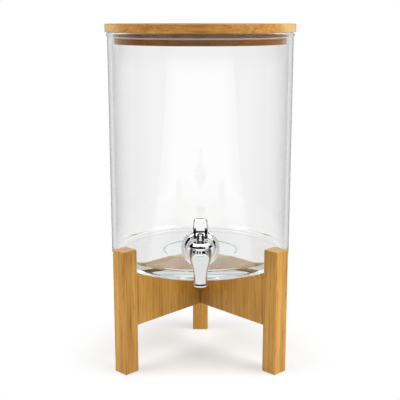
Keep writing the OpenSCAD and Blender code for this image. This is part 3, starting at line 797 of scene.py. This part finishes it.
def make_lever():
    """The lever: a rounded paddle over a fork whose feet are cams."""
    front, back = -LEVER_THICK / 2, LEVER_THICK / 2
    top = lever_top - pin.z
    half = LEVER_WIDTH / 2
    top_half = LEVER_TOP_WIDTH / 2
    deep = 4 * LEVER_THICK
    nose = cam_point(pull)
    side = [cam_point(turn) for turn in spaced(0, pull, 15)][:-1]
    crown = (back ** 2 + LEVER_CROWN ** 2) / (2 * LEVER_CROWN)
    spread = math.degrees(math.asin(back / crown))
    crown_arc = arc((0, top - crown), crown, 90 + spread, 90 - spread, 8)[1:-1]
    side += eased([side[-1] + (0,), nose + (NOSE_ROUND,), (front, FORK_HEIGHT, KNEE_ROUND),
                   (front, top - LEVER_CROWN, LEVER_TOP_EDGE), *[point + (0,) for point in crown_arc],
                   (back, top - LEVER_CROWN, LEVER_TOP_EDGE), (back, FORK_HEIGHT, BACK_ROUND),
                   (HEEL_LENGTH + MM, 0, HEEL_ROUND), (HEEL_LENGTH, -SOLE_HEIGHT, NOSE_ROUND),
                   side[0] + (0,)], count=10)[1:-1]
    lever = as_object("tap_lever", prism(side, pin, BACK, UP, RIGHT * LEVER_WIDTH))
    face = eased([(-half, -2 * SOLE_HEIGHT, 0), (half, -2 * SOLE_HEIGHT, 0), (half, 0, LEVER_SIDE_ROUND),
                  (top_half, top, LEVER_CORNER), (-top_half, top, LEVER_CORNER),
                  (-half, 0, LEVER_SIDE_ROUND)], count=10, closed=True)
    slot = [(-deep, -deep), (-deep, SLOT_FRONT_HEIGHT), (front, SLOT_FRONT_HEIGHT),
            (back, SLOT_BACK_HEIGHT), (deep, SLOT_BACK_HEIGHT), (deep, -deep)]
    brow_front = front - BROW_ROOM
    brow_top = FORK_HEIGHT + MM
    brow = [(brow_front, SOLE_HEIGHT), (brow_front, brow_top), (-deep, brow_top), (-deep, SOLE_HEIGHT)]
    bore_half = half + MM
    pin_bore = PIN_RADIUS + PIN_ROOM
    bore = lathe([(0, -bore_half), (pin_bore, -bore_half), (pin_bore, bore_half), (0, bore_half)],
                 pin, RIGHT, UP, steps=PIN_STEPS)
    combine(lever, "INTERSECT", prism(face, pin, RIGHT, UP, BACK * deep))
    for vert in lever.data.vertices:
        vert.co.x *= 1 - LEVER_DRAFT * (pin.y + back - vert.co.y) / LEVER_THICK
    combine(lever, "DIFFERENCE", prism(slot, pin, BACK, UP, RIGHT * FORK_WIDTH), bore)
    round_off = lever.modifiers.new("round", "BEVEL")
    round_off.width = LEVER_EDGE
    round_off.segments = LEVER_EDGE_STEPS
    round_off.limit_method = "ANGLE"
    round_off.angle_limit = math.radians(LEVER_SHARP_FROM)
    apply_modifiers(lever)
    combine(lever, "DIFFERENCE", prism(brow, pin, BACK, UP, RIGHT * FORK_WIDTH))
    mark_hollow(lever)
    return finish_piece(lever, chrome_look, "lever", "chrome", "lever")


def make_pin():
    """The lever's pin, with eased ends."""
    half = (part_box("lever_pin")[1].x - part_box("lever_pin")[0].x) / 2
    outline = eased([(0, -half, 0), (PIN_RADIUS, -half, EASED_EDGE), (PIN_RADIUS, half, EASED_EDGE),
                     (0, half, 0)])
    made = as_object("lever_hinge_pin", lathe(outline, pin, RIGHT, UP, steps=PIN_STEPS))
    return finish_piece(made, steel_look, "stem", "steel", "lever_pin")


def make_spring():
    """The valve's spring: its top stays under the bonnet."""
    low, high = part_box("return_spring")
    wire = SPRING_WIRE_RADIUS
    coil = (high.x - low.x) / 2 - wire
    section = arc((coil, 0), wire, 0, 360 - 360 / SPRING_WIRE_SIDES, SPRING_WIRE_SIDES - 1)
    bm = bmesh.new()
    rings = []
    for t in spaced(0, 1, SPRING_TURN_STEPS * SPRING_TURNS):
        a = math.tau * SPRING_TURNS * t
        out = RIGHT * math.cos(a) + BACK * math.sin(a)
        foot = spout_axis + UP * (low.z + wire + (high.z - low.z - 2 * wire) * t)
        rings.append([bm.verts.new(foot + out * r + UP * h) for r, h in section])
    for one, two in zip(rings, rings[1:]):
        for i in range(len(section)):
            bm.faces.new((one[i - 1], one[i], two[i], two[i - 1]))
    bm.faces.new(rings[0])
    bm.faces.new(rings[-1])
    bmesh.ops.recalc_face_normals(bm, faces=bm.faces)
    spring = finish_piece(as_object("valve_spring", bm), steel_look, "jar", "steel", "return_spring")
    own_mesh(spring)


make_tap_ring()
make_spout()
make_bonnet()
make_stem_head()
make_lever()
make_pin()
make_spring()


# Stand

def make_leg(side, turn):
    """A square leg with eased edges, turned to face the jar's axis."""
    low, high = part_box(side + "_leg")
    bm = bmesh.new()
    bmesh.ops.create_cube(bm, size=1)
    bmesh.ops.scale(bm, vec=(leg_width, leg_width, high.z - low.z), verts=bm.verts)
    bevel_edges(bm, LEG_EDGE, segments=3)
    facing = Matrix.Rotation(math.radians(turn), 3, "Z")
    bmesh.ops.rotate(bm, cent=(0, 0, 0), matrix=facing, verts=bm.verts)
    bmesh.ops.translate(bm, vec=feet[side] + UP * (high.z + low.z) / 2, verts=bm.verts)
    grain = bamboo(side + "_leg_bamboo", feet[side], (0, 0, turn), LEG_STRIPS, streak=LEG_STREAK)
    finish_piece(mark_ends(as_object(side + "_post", bm), UP), grain, "stand", "bamboo", side + "_leg")


def make_arm(side, turn, right_half, left_half):
    """A board on edge, mitred at the jar's axis against its two neighbours."""
    half = arm_width / 2
    reach = (feet[side] - jar_axis).length - leg_width / 2
    out = Vector((math.cos(math.radians(turn)), math.sin(math.radians(turn)), 0))
    left = UP.cross(out)
    outline = [(0, 0), (half / math.tan(math.radians(right_half)), -half), (reach, -half), (reach, half),
               (half / math.tan(math.radians(left_half)), half)]
    centre = jar_axis + UP * (arm_top + arm_bottom) / 2
    bm = prism(outline, centre, out, left, UP * (arm_top - arm_bottom))
    bevel_edges(bm, ARM_EDGE, segments=2)
    grain = bamboo(side + "_arm_bamboo", jar_axis, (0, 0, turn), ARM_STRIPS, ARM_TONE, streak=ARM_STREAK)
    finish_piece(mark_ends(as_object(side + "_board", bm), UP), grain, "stand", "bamboo", side + "_arm")


for side, turn, right_half, left_half in (
        ("front_left", 270 - arm_turn, 90 - arm_turn / 2, arm_turn),
        ("front_right", 270 + arm_turn, arm_turn, 90 - arm_turn / 2),
        ("rear", 90, 90 - arm_turn / 2, 90 - arm_turn / 2)):
    make_leg(side, turn)
    make_arm(side, turn, right_half, left_half)

# Inner pieces keep their solids and get finishes
inner_looks = {
    "outer_gasket": silicone_look, "inner_gasket": silicone_look, "packing_ring": silicone_look,
    "seat_cup": silicone_look, "clamp_washer": steel_look, "packing_washer": steel_look,
    "valve_stem": steel_look, "clamp_nut": chrome_look,
    "leg_dowels": dowel_look, "centre_dowels": dowel_look,
}
for node, look in inner_looks.items():
    for material_slot in frame["nodes"][node].material_slots:
        material_slot.material = look


# Camera

PHOTO_SIDE = 400
FOCAL_PIXELS = 814.6
CAMERA_REACH = 0.8504
CAMERA_HEIGHT = 0.3494
CAMERA_SIDE = -0.0004
CAMERA_TILT = 0.2180
SENSOR_MM = 36


def make_camera():
    """The camera at the photograph's place: in front, a little above, looking down."""
    data = bpy.data.cameras.new("camera")
    data.sensor_width = SENSOR_MM
    data.lens = FOCAL_PIXELS / PHOTO_SIDE * SENSOR_MM
    data.clip_end = 100
    camera = bpy.data.objects.new("camera", data)
    camera.location = (CAMERA_SIDE, axis_y - CAMERA_REACH, CAMERA_HEIGHT)
    camera.rotation_euler = (math.pi / 2 - CAMERA_TILT, 0, 0)
    bpy.context.scene.collection.objects.link(camera)
    bpy.context.scene.camera = camera


# Floor and room: a band is (from, to), and may add the values before and after it

WHITE = (1, 1, 1, 1)
FILL = (0.2, 0.2, 0.2, 1)

# The floor, in metres from the object's middle
FLOOR_HALF = 20
FLOOR_COLOUR = (0.93, 0.92, 0.92, 1)
FLOOR_ROUGHNESS = 0.8
FLOOR_FADE = (0.05, 0.16, 0.35, 1.0)
INNER_SHEEN = (0.48, 0.54, 0.8, 0)
OUTER_SHEEN = (0.64, 0.70, 0.6, 1)
SIDE_SHEEN = (0.25, 0.45)
REAR_SHADE = (-0.1, 0.1, 0.2, 1.0)
SIDE_SHADE = (0.24, 0.34, 1, 0.4)
SIDE_SLANT = 0.8
FAR_SHADE = (5, 8, 0, 0.97)
FAR_FRONT = (-1, 1)
FAR_SLANT = 0.6
FAR_RELIEF = 0.3
REAR_THROUGH_GLASS = (-0.1, 0.1, 1, 0)
PAST_JAR = (3.4, 3.6, 1, 0.1)

# The room in mirrors: turns in radians from straight ahead, rises in degrees
WALL_RISE = (19, 21, 0, 0.9)
CEILING_RISE = (44, 46)
ZENITH_RISE = (62, 72, 1.0, 0.72)
PANE_TURNS = 9.7
PANE_WIDTH = (-0.7, -0.5, 1, 0)
PANE_TOP = (5, 7, 1, 0)
SWAY_TURNS = 3.1
SWAY_START = 0.8
SWAY_SIZE = 1.6
SILL_DROP = 1.5
SILL_TOP = (1.5, 2.5, 0.9, 0)
SILL_FOOT = (0.3, 0.5)
FLAG_TURN = ((-2.1, -1.9), (0.8, 1.0))
FLAG_RISE = ((27, 29), (43, 46))
FLAG_DROP = 8
SIDE_FLAG_TURN = ((-2.4, -2.2), (-1.1, -0.9))
SIDE_FLAG_RISE = ((9, 11), (56, 60))
REAR_FLAG = (0.62, 0.72, 0.0, 0.35)
REAR_GAP = (0.12, 0.22)
ROOM_THROUGH_GLASS = (-0.1, 0.2, 0.4, 0.75)


def seen_directly(tree, light):
    """1 for rays that show the background: straight, mirrored or through glass, but not as fill light."""
    shown = maths(tree, "MAXIMUM", light["Is Camera Ray"], light["Is Glossy Ray"])
    shown = maths(tree, "MAXIMUM", shown, light["Is Transmission Ray"])
    return maths(tree, "SUBTRACT", shown, light["Diffuse Depth"], clamp=True)


def make_floor():
    """A pale floor that keeps the object's shadow, fades to white, and is shaded apart in mirrors."""
    bm = bmesh.new()
    bmesh.ops.create_grid(bm, x_segments=1, y_segments=1, size=FLOOR_HALF)
    floor = as_object("floor", bm)
    material, tree, shader = new_material("floor")
    shader.inputs["Base Color"].default_value = FLOOR_COLOUR
    shader.inputs["Roughness"].default_value = FLOOR_ROUGHNESS
    shader.inputs["Specular IOR Level"].default_value = 0
    place = add(tree, "ShaderNodeTexCoord").outputs["Object"]
    length = add(tree, "ShaderNodeVectorMath", {"operation": "LENGTH"})
    feed(tree, length.inputs[0], place)
    reach = length.outputs["Value"]
    axes = add(tree, "ShaderNodeSeparateXYZ", Vector=place).outputs
    ahead = maths(tree, "MULTIPLY", axes["Y"], -1)
    off_side = maths(tree, "ABSOLUTE", axes["X"])
    light = add(tree, "ShaderNodeLightPath").outputs
    mirrored = maths(tree, "MINIMUM", light["Glossy Depth"], 1)
    depth = light["Transmission Depth"]

    tone = maths(tree, "MAXIMUM", ramp(tree, ahead, *OUTER_SHEEN), ramp(tree, ahead, *INNER_SHEEN))
    tone = maths(tree, "MAXIMUM", tone, ramp(tree, off_side, *SIDE_SHEEN))
    tone = maths(tree, "MULTIPLY", tone, ramp(tree, ahead, *REAR_SHADE))
    sideways = maths(tree, "SUBTRACT", off_side, maths(tree, "MULTIPLY", ahead, SIDE_SLANT))
    tone = maths(tree, "MULTIPLY", tone, ramp(tree, sideways, *SIDE_SHADE))
    through = maths(tree, "MINIMUM", depth, ramp(tree, ahead, *REAR_THROUGH_GLASS))
    through = maths(tree, "MULTIPLY", through, ramp(tree, depth, *PAST_JAR))
    tone = maths(tree, "MAXIMUM", tone, through)
    before = maths(tree, "ADD", ahead, maths(tree, "MULTIPLY", off_side, FAR_SLANT))
    far = maths(tree, "MULTIPLY", ramp(tree, before, *FAR_FRONT), ramp(tree, reach, *FAR_SHADE))
    relief = maths(tree, "SUBTRACT", 1.0, maths(tree, "MINIMUM", depth, FAR_RELIEF))
    far = maths(tree, "MULTIPLY", far, relief)
    tone = maths(tree, "MULTIPLY", tone, maths(tree, "SUBTRACT", 1.0, far))

    white = add(tree, "ShaderNodeEmission")
    feed(tree, white.inputs["Color"], blend(tree, mirrored, WHITE, tone))
    shown = maths(tree, "MAXIMUM", ramp(tree, reach, *FLOOR_FADE), mirrored)
    mix = add(tree, "ShaderNodeMixShader")
    feed(tree, mix.inputs[0], maths(tree, "MULTIPLY", shown, seen_directly(tree, light)))
    feed(tree, mix.inputs[1], shader.outputs[0])
    feed(tree, mix.inputs[2], white.outputs[0])
    feed(tree, tree.nodes["Material Output"].inputs["Surface"], mix.outputs[0])
    floor.data.materials.append(material)


def between(tree, value, enter, leave):
    """1 where the value is past the band enter and before the band leave."""
    return maths(tree, "MULTIPLY", ramp(tree, value, *enter), ramp(tree, value, *leave, 1, 0))


def make_world():
    """A white studio: plain fill light, white where it is seen, and a room with dark flags in mirrors."""
    world = bpy.data.worlds.new("studio")
    bpy.context.scene.world = world
    world.use_nodes = True
    tree = world.node_tree
    direction = add(tree, "ShaderNodeTexCoord").outputs["Generated"]
    facing = add(tree, "ShaderNodeSeparateXYZ", Vector=direction).outputs
    turn = maths(tree, "ARCTAN2", facing["X"], maths(tree, "MULTIPLY", facing["Y"], -1))
    swing = maths(tree, "ABSOLUTE", turn)
    rise = maths(tree, "DEGREES", maths(tree, "ARCSINE", facing["Z"]))
    light = add(tree, "ShaderNodeLightPath").outputs

    sway = maths(tree, "SINE", maths(tree, "ADD", maths(tree, "MULTIPLY", turn, SWAY_TURNS), SWAY_START))
    sway = maths(tree, "MULTIPLY", sway, SWAY_SIZE)
    wave = maths(tree, "ADD", maths(tree, "MULTIPLY", turn, PANE_TURNS), sway)
    panes = ramp(tree, maths(tree, "COSINE", wave), *PANE_WIDTH)
    panes = maths(tree, "MULTIPLY", panes, ramp(tree, rise, *PANE_TOP))
    sill = maths(tree, "ADD", rise, maths(tree, "MULTIPLY", swing, SILL_DROP))
    sill = maths(tree, "MAXIMUM", ramp(tree, sill, *SILL_TOP), panes)
    sill = maths(tree, "MULTIPLY", sill, ramp(tree, rise, *SILL_FOOT))
    tone = maths(tree, "MAXIMUM", ramp(tree, rise, *WALL_RISE), sill)
    tone = maths(tree, "MAXIMUM", tone, ramp(tree, rise, *CEILING_RISE))

    drop = maths(tree, "ADD", rise, maths(tree, "MULTIPLY", swing, FLAG_DROP))
    flag = maths(tree, "MULTIPLY", between(tree, turn, *FLAG_TURN), between(tree, drop, *FLAG_RISE))
    side_flag = between(tree, turn, *SIDE_FLAG_TURN)
    side_flag = maths(tree, "MULTIPLY", side_flag, between(tree, rise, *SIDE_FLAG_RISE))
    tone = maths(tree, "SUBTRACT", tone, maths(tree, "MAXIMUM", flag, side_flag), clamp=True)
    tone = maths(tree, "MULTIPLY", tone, ramp(tree, rise, *ZENITH_RISE))
    off_side = maths(tree, "ABSOLUTE", facing["X"])
    behind = maths(tree, "MULTIPLY", ramp(tree, facing["Y"], *REAR_FLAG), ramp(tree, off_side, *REAR_GAP))
    tone = maths(tree, "MULTIPLY", tone, maths(tree, "SUBTRACT", 1.0, behind))
    through = ramp(tree, facing["Y"], *ROOM_THROUGH_GLASS)
    tone = maths(tree, "MAXIMUM", tone, maths(tree, "MINIMUM", light["Transmission Depth"], through))

    shown = blend(tree, maths(tree, "MINIMUM", light["Glossy Depth"], 1), WHITE, tone)
    colour = blend(tree, seen_directly(tree, light), FILL, shown)
    feed(tree, tree.nodes["Background"].inputs["Color"], colour)


# Light: the side lights give their turn in degrees and the watts of the low box and the high box

SIDE_LIGHTS = (("left", -72, 6.8, 8.8), ("right", 68, 10, 12.3))
LOW_REACH = 1.3
LOW_WIDTH = 1.2
LOW_HEIGHT = 0.42
LOW_GAP = 20 * MM
HIGH_REACH = 1.4
HIGH_RISE = 50
HIGH_SIDE = 0.8
TOP_REACH = 1.5
TOP_SIDE = 1.5
TOP_POWER = 7


def make_lamp(name, place, target, width, height, power):
    """A soft box at place, facing target."""
    data = bpy.data.lights.new(name, "AREA")
    data.shape = "RECTANGLE"
    data.size, data.size_y = width, height
    data.energy = power
    lamp = bpy.data.objects.new(name, data)
    lamp.location = place
    lamp.rotation_euler = (Vector(target) - Vector(place)).to_track_quat("-Z", "Y").to_euler()
    bpy.context.scene.collection.objects.link(lamp)
    return lamp


def make_lights():
    """A low and a high soft box on each side, and one above."""
    middle = Vector((0, axis_y, (cad_low.z + cad_high.z) / 2))
    rise = math.radians(HIGH_RISE)
    for name, turn, low_power, high_power in SIDE_LIGHTS:
        out = Vector((math.sin(math.radians(turn)), -math.cos(math.radians(turn)), 0))
        place = jar_axis + out * LOW_REACH + UP * (LOW_HEIGHT / 2 + LOW_GAP)
        low_box = make_lamp(name + "_low_softbox", place, place - out, LOW_WIDTH, LOW_HEIGHT, low_power)
        low_box.visible_glossy = False
        low_box.visible_transmission = False
        place = middle + (out * math.cos(rise) + UP * math.sin(rise)) * HIGH_REACH
        make_lamp(name + "_high_softbox", place, middle, HIGH_SIDE, HIGH_SIDE, high_power)
    make_lamp("top_softbox", middle + UP * TOP_REACH, middle, TOP_SIDE, TOP_SIDE, TOP_POWER)


make_lights()
make_camera()
make_floor()
make_world()
bpy.context.scene.view_settings.view_transform = "Standard"
